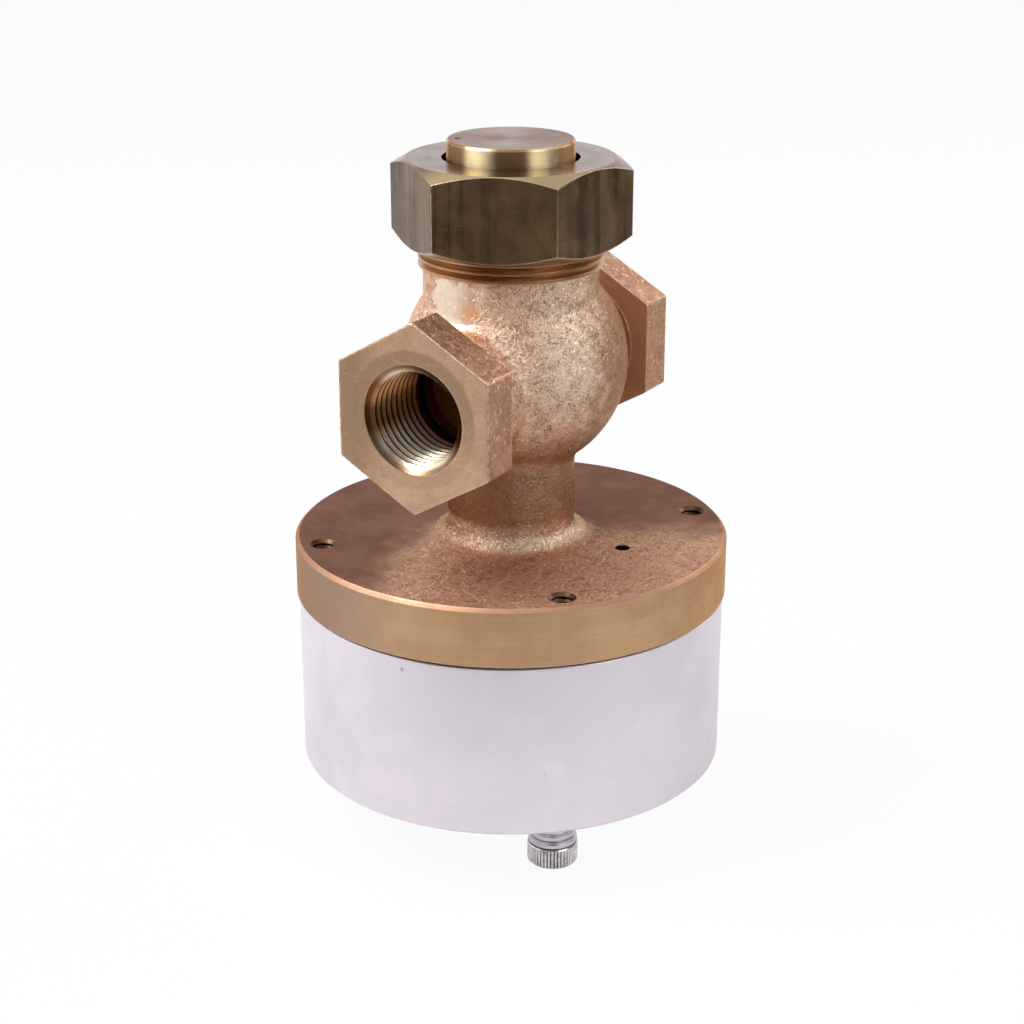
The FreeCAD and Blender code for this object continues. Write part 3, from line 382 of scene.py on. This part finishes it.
def turned_metal(name, base, second, mark, rough, lines=2.4, depth=0.02, axis="stem", speck=None,
                 edge_colour=None, smear=0.35, specks=0.5, left_reflection_tone=None, front=None, **sockets):
    """A lathe-turned face or side: fine rings, bands of slightly other tone and a few marks.

    Two tones are painted reflections: one on the left side, and one on the side towards the inlet's front.
    """
    f = Finish(name)
    radius, along = f.around_stem() if axis == "stem" else f.around_port()
    rings = f.join(radius, along, 0.0)
    fine = f.noise(lines, 3.0, 0.6, where=rings)
    bands = f.noise(lines * 0.16, 2.0, 0.5, where=rings)
    cloud = f.noise(0.12, 4.0, 0.6)
    marks = f.noise(0.9, 5.0, 0.7)
    colour = f.mix(f.step(bands, 0.36, 0.64), base, second)
    colour = f.mix(f.step(cloud, 0.4, 0.7, 0.0, smear), colour, mark)
    colour = f.mix(f.step(fine, 0.42, 0.62, 0.0, 0.22), colour, mark)
    if speck:
        colour = f.mix(f.step(marks, 0.63, 0.72, 0.0, specks), colour, speck)
    # Painted reflection tone on the left side.
    if left_reflection_tone:
        colour = f.mix(f.step(f.toward(RIGHT), -16.0, -36.0), colour, left_reflection_tone)
    # Painted reflection on the side towards the inlet's front.
    if front:
        colour = f.mix(f.step(f.toward(FRONT), 12.0, 18.0), colour, front)
    shine = f.plus(f.step(fine, 0.3, 0.7, rough * 0.9, rough * 1.15), f.step(cloud, 0.35, 0.7, 0.0, 0.08))
    edge_normal, edge = f.soft_edges(0.2)
    if edge_colour:
        colour = f.mix(f.times(edge, 0.8), colour, edge_colour)
    height = f.plus(fine, f.times(marks, 0.35))
    return f.finish(colour, shine, f.bump(height, depth, edge_normal), **sockets)


def sanded_face(name, base, second, ring, grit, edge_colour, rough):
    """A port's flat end: sanded grain with specks, and a darker turned ring round the mouth."""
    f = Finish(name)
    radius, _ = f.around_port()
    _, y, z = f.split(f.place)
    cloud = f.noise(0.13, 4.0, 0.6)
    grain = f.noise(1.6, 5.0, 0.7)
    scratch = f.noise(1.2, 4.0, 0.65, stretch=(1.0, 0.25, 1.0), warp=0.4)
    spots = f.noise(0.55, 5.0, 0.75, warp=0.8)
    uneven = f.ragged(0.25, 2.5)
    near_mouth = f.step(f.plus(radius, f.times(uneven, 0.3)), 14.0, 13.2)
    near_mouth = f.times(near_mouth, f.step(z, -6.0, 4.0, 0.25, 0.75))
    colour = f.mix(f.step(cloud, 0.36, 0.66), base, second)
    colour = f.mix(near_mouth, colour, ring)
    colour = f.mix(f.step(f.plus(y, uneven), 6.0, 13.0, 0.0, 0.9), colour, ring)
    colour = f.mix(f.step(scratch, 0.54, 0.70, 0.0, 0.12), colour, edge_colour)
    colour = f.mix(f.step(grain, 0.38, 0.48, 0.22, 0.0), colour, grit)
    colour = f.mix(f.step(spots, 0.60, 0.68, 0.0, 0.3), colour, grit)
    colour = f.mix(f.step(spots, 0.33, 0.27, 0.0, 0.6), colour, edge_colour)
    edge_normal, edge = f.soft_edges(0.8)
    worn = f.times(edge, f.step(f.noise(0.9), 0.36, 0.58, 0.1, 1.0))
    colour = f.mix(worn, colour, edge_colour)
    height = f.plus(grain, f.times(spots, 0.6))
    shine = f.step(cloud, 0.3, 0.7, rough * 0.9, rough * 1.15)
    return f.finish(colour, shine, f.bump(height, 0.07, edge_normal), Specular_Tint=BRONZE_GLANCE)


def threaded_metal(name, crest, groove, shade, deep_shade, rough):
    """Port threads: bright crests, duller grooves, a side with painted shade and painted shade towards the
    ends far inside the body.
    """
    f = Finish(name)
    radius, along = f.around_port()
    z = f.split(f.place)[2]
    fine = f.noise(3.0, 3.0, 0.6, where=f.join(radius, along, 0.0))
    cloud = f.noise(0.3, 4.0, 0.65)
    colour = f.mix(f.step(radius, THREAD_ROOT_RADIUS, THREAD_CREST_RADIUS), groove, crest)
    colour = f.mix(f.step(cloud, 0.45, 0.70, 0.0, 0.45), colour, groove)
    shaded = f.times(f.step(z, -7.0, -2.5), f.step(z, 9.0, 5.0, 0.35, 1.0))
    colour = f.mix(shaded, colour, shade, "MULTIPLY")
    from_stem = f.math("ABSOLUTE", f.minus(along, STEM_X))
    # Painted shade towards the ends far inside the body.
    colour = f.mix(f.step(from_stem, 32.0, 21.0, 0.0, 0.9), colour, deep_shade)
    shine = f.step(fine, 0.3, 0.7, rough * 0.85, rough * 1.2)
    edge_normal, _ = f.soft_edges(0.12)
    return f.finish(colour, shine, f.bump(fine, 0.015, edge_normal), Specular_Tint=BORE_GLANCE)


def milled_metal(name, base, second, left_flat_shade, grime, scratch, edge_colour, rough):
    """Milled hexagon flats: upright streaks, cloudy patina, short level scratches, worn corners and painted
    shade on the left flats.
    """
    f = Finish(name)
    streak = f.noise(0.30, 3.0, 0.55, stretch=(1.0, 1.0, 0.05))
    cloud = f.noise(0.10, 5.0, 0.62, warp=0.6)
    hair = f.noise(1.1, 4.0, 0.7, stretch=(0.35, 0.35, 1.6), warp=0.3)
    weave = f.noise(0.9, 5.0, 0.78, warp=1.6)
    colour = f.mix(f.step(cloud, 0.36, 0.66), base, second)
    # Painted shade on the left flats.
    colour = f.mix(f.step(f.toward(RIGHT), -19.0, -16.0, 0.85, 0.0), colour, left_flat_shade)
    colour = f.mix(f.step(streak, 0.46, 0.62, 0.0, 0.55), colour, second)
    colour = f.mix(f.step(streak, 0.47, 0.36, 0.0, 0.5), colour, grime)
    colour = f.mix(f.step(weave, 0.58, 0.68, 0.0, 0.4), colour, scratch)
    colour = f.mix(f.step(hair, 0.61, 0.68, 0.0, 0.3), colour, scratch)
    edge_normal, edge = f.soft_edges(0.45)
    below_bevel = f.step(f.split(f.place)[2], NUT_BEVEL_FOOT, NUT_BEVEL_FOOT - 0.6, 0.35, 1.0)
    worn = f.times(edge, f.times(below_bevel, f.step(f.noise(0.5), 0.3, 0.6, 0.7, 1.0)))
    colour = f.mix(worn, colour, edge_colour)
    height = f.plus(f.times(weave, 0.6), f.times(hair, 0.4))
    shine = f.step(cloud, 0.3, 0.7, rough * 0.85, rough * 1.25)
    return f.finish(colour, shine, f.bump(height, 0.04, edge_normal))


def polished_side(name, bright, dark_band_reflection, dull, rough):
    """A polished turned side: soft upright bands of painted reflection, bright and dark by turns round it, a
    painted highlight on its edges and light drawn upright.
    """
    f = Finish(name)
    x, y, z = f.split(f.place)
    # Painted reflections: bright and dark upright bands round the cap.
    angle = f.math("ARCTAN2", y, f.minus(x, STEM_X))
    bands = f.math("COSINE", f.plus(f.times(angle, REFLECTION_BAND_COUNT), REFLECTION_BAND_PHASE))
    cloud = f.noise(0.35, 4.0, 0.6)
    fine = f.noise(4.0, 3.0, 0.6, where=f.join(0.0, 0.0, z))
    uneven = f.plus(bands, f.times(f.minus(cloud, 0.5), 0.5))
    colour = f.mix(f.step(uneven, -0.5, 0.7), dark_band_reflection, bright)
    colour = f.mix(f.step(fine, 0.42, 0.62, 0.0, 0.15), colour, dull)
    edge_normal, edge = f.soft_edges(0.5)
    # Painted highlight on the edges.
    colour = f.mix(f.times(edge, 0.8), colour, bright)
    shine = f.step(cloud, 0.3, 0.7, rough * 0.9, rough * 1.15)
    return f.finish(colour, shine, f.bump(fine, 0.006, edge_normal), Specular_Tint=BRONZE_GLANCE,
                    Anisotropic=0.85, Anisotropic_Rotation=0.25)


def knurled_metal(name, rib, groove, rough):
    """A straight knurl: bright ribs and dark grooves."""
    f = Finish(name)
    x, y, _ = f.split(f.place)
    radius = f.vector("LENGTH", f.join(f.minus(x, KNURL_AXIS[0]), f.minus(y, KNURL_AXIS[1]), 0.0))
    cloud = f.noise(0.8, 4.0, 0.6)
    ribs = f.mix(f.step(cloud, 0.40, 0.66, 0.0, 0.35), rib, groove)
    colour = f.mix(f.step(radius, KNURL_GROOVE_RADIUS, KNURL_RIB_RADIUS), groove, ribs)
    edge_normal, _ = f.soft_edges(0.08)
    shine = f.step(cloud, 0.3, 0.7, rough * 0.85, rough * 1.2)
    return f.finish(colour, shine, f.bump(f.noise(4.0, 3.0), 0.01, edge_normal))


def cloudy_metal(name, base, second, fleck, rough, edge_colour):
    """Fine-machined aluminium: soft smudges, very faint tool lines and a few dark flecks."""
    f = Finish(name)
    _, z = f.around_stem()
    smudge = f.noise(0.045, 4.0, 0.55, warp=0.8)
    upright = f.noise(0.12, 3.0, 0.6, stretch=(1.0, 1.0, 0.35))
    flecks = f.cells(0.11)
    marks = f.noise(0.20, 5.0, 0.75)
    line = f.noise(4.0, 2.0, 0.5, where=f.join(0.0, 0.0, z))
    colour = f.mix(f.step(smudge, 0.36, 0.64), base, second)
    colour = f.mix(f.step(upright, 0.50, 0.70, 0.0, 0.35), colour, base)
    colour = f.mix(f.step(marks, 0.66, 0.78, 0.0, 0.25), colour, fleck)
    colour = f.mix(f.step(flecks, 0.035, 0.06, 0.7, 0.0), colour, fleck)
    edge_normal, edge = f.soft_edges(0.3)
    colour = f.mix(f.times(edge, 0.7), colour, edge_colour)
    shine = f.step(smudge, 0.3, 0.7, rough * 0.9, rough * 1.1)
    return f.finish(colour, shine, f.bump(line, 0.004, edge_normal))


def plain_finish(name, base, second, rough, metallic=1.0, scale=0.6, depth=0.02, **sockets):
    """Inner pieces: a cloudy tone with a light grain."""
    f = Finish(name)
    cloud = f.noise(scale * 0.25, 4.0)
    grain = f.noise(scale * 4.0, 4.0, 0.6)
    colour = f.mix(f.step(cloud, 0.35, 0.65), base, second)
    colour = f.mix(f.step(grain, 0.55, 0.75, 0.0, 0.3), colour, second)
    edge_normal, _ = f.soft_edges(0.15)
    shine = f.step(grain, 0.3, 0.7, rough * 0.85, rough * 1.15)
    return f.finish(colour, shine, f.bump(grain, depth, edge_normal), metallic, **sockets)


# Palette

CAST = cast_metal(
    "cast_bronze", base=(0.94, 0.66, 0.48), second=(1.0, 0.77, 0.59), glint=(1.0, 0.88, 0.73),
    pit=(0.32, 0.165, 0.095), relief=1.6, rough=(0.26, 0.40), sparkle=0.4, pits=0.9, globe=True)
HEX_SIDE = cast_metal(
    "cast_hexagon", base=(0.58, 0.33, 0.22), second=(0.66, 0.395, 0.27), glint=(1.0, 0.78, 0.58),
    pit=(0.26, 0.125, 0.075), relief=0.9, rough=(0.30, 0.42), sparkle=0.7, pits=0.55)
HEX_BACK = turned_metal(
    "hexagon_back", base=(0.95, 0.60, 0.38), second=(1.0, 0.68, 0.46), mark=(0.75, 0.42, 0.24), rough=0.55,
    lines=1.4, axis="port", speck=(0.65, 0.40, 0.24), specks=0.3, edge_colour=(0.80, 0.56, 0.38),
    Specular_Tint=BRONZE_GLANCE)
FLANGE_FACE = flange_metal(
    "flange_face", smooth_tones=((0.185, 0.085, 0.056), (0.235, 0.115, 0.08)),
    brushed_tone=(0.34, 0.19, 0.13), sandy_tones=((0.56, 0.325, 0.21), (0.62, 0.37, 0.245)),
    sandy_pit=(0.28, 0.135, 0.08), sandy_glint=(0.92, 0.68, 0.50), foot_highlight_tone=(0.86, 0.62, 0.46),
    stain_tone=(0.14, 0.065, 0.042))
PORT_FACE = sanded_face(
    "port_face", base=(0.58, 0.36, 0.23), second=(0.68, 0.44, 0.29), ring=(0.38, 0.245, 0.15),
    grit=(0.22, 0.12, 0.065), edge_colour=(0.95, 0.80, 0.62), rough=0.38)
RIM = turned_metal(
    "flange_rim", base=(0.60, 0.38, 0.205), second=(0.62, 0.395, 0.225), mark=(0.53, 0.325, 0.19),
    rough=0.42, lines=1.6, speck=(0.30, 0.18, 0.10), smear=0.6, edge_colour=(0.84, 0.62, 0.45),
    left_reflection_tone=(0.40, 0.275, 0.205), Specular_Tint=BRONZE_GLANCE)
BEVEL = turned_metal(
    "flange_bevel", base=(0.44, 0.25, 0.155), second=(0.50, 0.29, 0.185), mark=(0.36, 0.20, 0.125),
    rough=0.46, speck=(0.30, 0.16, 0.10), Specular_Tint=BRONZE_GLANCE)
BORE = threaded_metal(
    "port_threads", crest=(1.0, 0.88, 0.69), groove=(0.36, 0.22, 0.13), shade=(0.36, 0.20, 0.11),
    deep_shade=(0.16, 0.06, 0.02), rough=0.24)
CROWN = turned_metal(
    "crown_threads", base=(0.50, 0.275, 0.135), second=(0.58, 0.34, 0.18), mark=(0.26, 0.125, 0.06),
    rough=0.25, lines=2.0)
INSIDE = plain_finish(
    "cored_inside", base=(0.46, 0.17, 0.058), second=(0.54, 0.22, 0.08), rough=0.6, scale=0.3,
    Specular_Tint=INSIDE_GLANCE)
# Near-black tone for painted shade inside the tapped holes.
SHADED_HOLE = plain_finish("shaded_holes", base=(0.09, 0.045, 0.028), second=(0.15, 0.08, 0.05), rough=0.45)
NUT_FLAT = milled_metal(
    "nut_flats", base=(0.185, 0.118, 0.060), second=(0.28, 0.18, 0.098), left_flat_shade=(0.12, 0.062, 0.036),
    grime=(0.05, 0.03, 0.018), scratch=(0.44, 0.33, 0.21), edge_colour=(1.0, 0.86, 0.62), rough=0.34)
# The nut top's front tone is a painted reflection of the cap's gold.
NUT_TOP = turned_metal(
    "nut_top", base=(0.22, 0.135, 0.112), second=(0.26, 0.165, 0.138), mark=(0.17, 0.105, 0.08), rough=0.18,
    speck=(0.22, 0.15, 0.10), specks=0.2, edge_colour=(0.86, 0.72, 0.52), front=(0.46, 0.35, 0.20))
CAP_SIDE = polished_side(
    "cap_side", bright=(1.0, 0.85, 0.52), dark_band_reflection=(0.36, 0.22, 0.115), dull=(0.30, 0.18, 0.09), rough=0.42)
CAP_TOP = turned_metal(
    "cap_top", base=(0.26, 0.155, 0.115), second=(0.30, 0.18, 0.135), mark=(0.20, 0.115, 0.08), rough=0.28,
    lines=3.2, depth=0.01, edge_colour=(0.40, 0.27, 0.17), Anisotropic=0.6)
CAP_MARK = plain_finish("punch_mark", base=(0.10, 0.07, 0.055), second=(0.15, 0.10, 0.08), rough=0.45)
ALUMINIUM = cloudy_metal(
    "aluminium", base=(0.76, 0.705, 0.76), second=(0.835, 0.77, 0.825), fleck=(0.34, 0.32, 0.33), rough=0.46,
    edge_colour=(0.95, 0.94, 0.97))
NICKEL = turned_metal(
    "nickel", base=(0.72, 0.68, 0.70), second=(0.80, 0.76, 0.78), mark=(0.50, 0.47, 0.49), rough=0.28,
    lines=5.0, edge_colour=(0.95, 0.93, 0.95))
KNURL = knurled_metal("nickel_knurl", rib=(1.0, 0.97, 0.98), groove=(0.16, 0.145, 0.15), rough=0.25)
STEEL = plain_finish("stainless", base=(0.60, 0.59, 0.58), second=(0.68, 0.67, 0.66), rough=0.28)
SCREW = plain_finish("screw_steel", base=(0.05, 0.05, 0.055), second=(0.09, 0.09, 0.10), rough=0.38)
SPRING = plain_finish("spring_steel", base=(0.34, 0.34, 0.35), second=(0.44, 0.43, 0.43), rough=0.3)
INNER_BRONZE = plain_finish("inner_bronze", base=(0.58, 0.40, 0.23), second=(0.66, 0.48, 0.29), rough=0.32)
WHITE_RING = plain_finish(
    "fluoropolymer", base=(0.86, 0.85, 0.82), second=(0.78, 0.77, 0.73), rough=0.45, metallic=0.0)
RUBBER = plain_finish(
    "black_rubber", base=(0.02, 0.02, 0.021), second=(0.035, 0.034, 0.034), rough=0.6, metallic=0.0)
FIBRE = plain_finish(
    "fibre_sheet", base=(0.14, 0.10, 0.08), second=(0.2, 0.15, 0.12), rough=0.75, metallic=0.0,
    scale=1.4, depth=0.05)

NODE_FINISH = {
    "seat_ring": INNER_BRONZE, "guide_bushing": INNER_BRONZE, "packing_rings": WHITE_RING,
    "packing_follower": STEEL, "packing_nut": INNER_BRONZE, "cylinder": ALUMINIUM,
    "cylinder_gasket": RUBBER, "cylinder_screws": SCREW, "fitting_body": NICKEL,
    "fitting_washer": FIBRE, "bonnet_gasket": FIBRE, "stem": STEEL, "disc_washer": STEEL,
    "disc_seal": WHITE_RING, "disc_holder": INNER_BRONZE, "disc_nut": STEEL, "spring_seat": STEEL,
    "piston": ALUMINIUM, "piston_seal": RUBBER, "wear_ring": WHITE_RING, "piston_washer": STEEL,
    "piston_nut": STEEL, "return_spring": SPRING, "ferrule": INNER_BRONZE, "tube_nut": KNURL,
}
for name, finish in NODE_FINISH.items():
    slots = nodes[name].data.materials
    slots.clear()
    slots.append(finish)


# Pieces with more than one finish

def paint(name, finishes, pick):
    """Give each face of a node one of several finishes, by its centre in millimetres and its normal."""
    mesh = nodes[name].data
    mesh.materials.clear()
    for finish in finishes:
        mesh.materials.append(finish)
    for face in mesh.polygons:
        face.material_index = finishes.index(pick(face.center / MM, face.normal))


def flange_finish(spot, normal, from_stem):
    if from_stem > FLANGE_RADIUS - 2.0 * MARGIN and abs(normal.z) < RISE:
        return RIM
    if normal.z > FACING and spot.z > FLANGE_TOP - MARGIN:
        return FLANGE_FACE
    if from_stem > FLANGE_RADIUS - BEVEL_WIDTH and normal.z > RISE:
        return BEVEL
    return SHADED_HOLE


def body_finish(spot, normal):
    from_stem = math.hypot(spot.x - STEM_X, spot.y)
    from_port = math.hypot(spot.y, spot.z)
    along = abs(spot.x - STEM_X)
    end_on = abs(normal.x) > FACING
    outward = (normal.x * (spot.x - STEM_X) + normal.y * spot.y) / max(from_stem, MARGIN)
    in_cavity = from_stem < CAVITY_REACH and outward < 0.15 and spot.z > FLANGE_TOP + 1.0
    if spot.z < FLANGE_TOP + MARGIN and from_stem > NECK_REACH:
        return flange_finish(spot, normal, from_stem)
    if end_on and along > PORT_FACE_X:
        return PORT_FACE
    if from_port < THREAD_REACH and along > THREAD_X:
        return BORE
    if from_port < CORE_RADIUS or from_stem < CAVITY_RADIUS or in_cavity:
        return INSIDE
    if spot.z > CROWN_FOOT and from_stem < CROWN_REACH:
        return CROWN
    if end_on and along > HEX_BACK_X and from_port > PORT_NECK_RADIUS:
        return HEX_BACK
    if along > HEX_SIDE_X:
        return HEX_SIDE
    return CAST


def nut_finish(spot, normal):
    upright = abs(normal.z) < 0.2
    return NUT_FLAT if upright and math.hypot(spot.x - STEM_X, spot.y) > NUT_FLAT_REACH else NUT_TOP


def cap_finish(spot, normal):
    if normal.z > FACING:
        return CAP_TOP
    if normal.z > 0.0 and math.hypot(spot.x - STEM_X, spot.y) < CAP_MARK_REACH:
        return CAP_MARK
    return CAP_SIDE


paint("valve_body",
      [CAST, HEX_SIDE, HEX_BACK, FLANGE_FACE, PORT_FACE, RIM, BEVEL, BORE, CROWN, SHADED_HOLE, INSIDE], body_finish)
paint("union_nut", [NUT_FLAT, NUT_TOP], nut_finish)
paint("bonnet_cap", [CAP_SIDE, CAP_TOP, CAP_MARK], cap_finish)


# The return spring sits between its seat on the piston and the flange; its coil gets a mesh of its own and
# moves with the stem and piston

def make_spring():
    coil = bpy.data.objects.new("return_spring_coil", nodes["return_spring"].data.copy())
    bpy.context.scene.collection.objects.link(coil)
    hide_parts("return_spring")
    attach(coil, "stem_and_piston")
    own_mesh(coil)


make_spring()


# Studio: places and sizes in metres, power in watts, lens and sensor in millimetres

WHITE = (1.0, 1.0, 1.0, 1.0)
SKY_TONE = (0.98, 0.98, 1.0, 1.0)
SKY_STRENGTH = 0.22
PAPER_TONES = ((0.86, 0.86, 0.87), (0.90, 0.90, 0.905))
PAPER_GLOW = 0.93
FLOOR_REACH = 3.0
FLOOR_FRONT_EDGE = 0.20
FLOOR_RIGHT_EDGE = 0.25
CAMERA_PLACE = (-0.32359, -0.20534, 0.12290)
CAMERA_AIM = (0.81476, 0.46473, -0.34670)
CAMERA_LENS = 75.18
CAMERA_SENSOR = 36.0
MIDDLE = (0.036, 0.0, -0.02)

# Each lamp's name, place, size and power. All are aimed at the middle.
LAMPS = (
    ("key", (-0.45, 0.60, 0.95), (0.6, 0.6), 11.0),
    ("fill", (-0.15, -1.10, 0.60), (0.8, 0.6), 4.5),
    ("top", (-0.25, -0.15, 1.3), (0.9, 0.9), 4.0),
    ("rear", (0.95, -0.62, 0.55), (0.8, 0.5), 4.0),
)


def make_floor():
    """A sheet of paper that ends a little in front of the part, so that its front mirrors the room."""
    foot = Vector((STEM_X * MM, 0.0, cad_box[0].z))
    front, right = Vector(FRONT), Vector(RIGHT)
    corners = [foot + front * ahead + right * aside for ahead, aside in (
        (FLOOR_FRONT_EDGE, -FLOOR_REACH), (FLOOR_FRONT_EDGE, FLOOR_RIGHT_EDGE),
        (-FLOOR_RIGHT_EDGE, FLOOR_RIGHT_EDGE), (-FLOOR_REACH, FLOOR_REACH), (-FLOOR_REACH, -FLOOR_REACH))]
    mesh = bpy.data.meshes.new("floor")
    mesh.from_pydata(corners, [], [(0, 1, 2, 3, 4)])
    floor = bpy.data.objects.new("floor", mesh)
    bpy.context.scene.collection.objects.link(floor)
    f = Finish("floor_paper")
    f.finish(f.mix(f.noise(0.02, 3.0), *PAPER_TONES), 0.9, metallic=0.0)
    glow = f.node("ShaderNodeEmission")
    glow.inputs["Color"].default_value = WHITE
    behind = f.step(f.vector("DOT_PRODUCT", f.place, FRONT), 150.0, -250.0)
    share = f.times(f.sees_background(behind), PAPER_GLOW)
    paper = f.blend(share, f.shader.outputs[0], glow.outputs[0])
    f.feed(f.tree.nodes["Material Output"].inputs["Surface"], paper)
    mesh.materials.append(f.material)


def make_world():
    """White for the camera and through glass; metal mirrors it from the backdrop's side."""
    world = bpy.data.worlds.new("studio")
    bpy.context.scene.world = world
    world.use_nodes = True
    g = Graph(world.node_tree)
    soft = g.tree.nodes["Background"]
    soft.inputs["Color"].default_value = SKY_TONE
    soft.inputs["Strength"].default_value = SKY_STRENGTH
    white = g.node("ShaderNodeBackground")
    white.inputs["Color"].default_value = WHITE
    direction = g.node("ShaderNodeTexCoord").outputs["Generated"]
    behind = g.step(g.vector("DOT_PRODUCT", direction, ROOM_SIDE), 0.3, -0.4)
    sky = g.blend(g.sees_background(behind), soft.outputs[0], white.outputs[0])
    g.feed(g.tree.nodes["World Output"].inputs["Surface"], sky)


def make_lamp(name, place, size, watts):
    data = bpy.data.lights.new(name, "AREA")
    data.shape = "RECTANGLE"
    data.size, data.size_y = size
    data.energy = watts
    lamp = bpy.data.objects.new(name, data)
    lamp.location = place
    lamp.rotation_euler = (Vector(MIDDLE) - Vector(place)).to_track_quat("-Z", "Y").to_euler()
    bpy.context.scene.collection.objects.link(lamp)


def make_camera():
    data = bpy.data.cameras.new("camera")
    data.lens = CAMERA_LENS
    data.sensor_width = CAMERA_SENSOR
    camera = bpy.data.objects.new("camera", data)
    camera.location = CAMERA_PLACE
    camera.rotation_euler = Vector(CAMERA_AIM).to_track_quat("-Z", "Y").to_euler()
    bpy.context.scene.collection.objects.link(camera)
    bpy.context.scene.camera = camera


make_floor()
make_world()
for lamp in LAMPS:
    make_lamp(*lamp)
make_camera()
bpy.context.scene.view_settings.view_transform = "Standard"
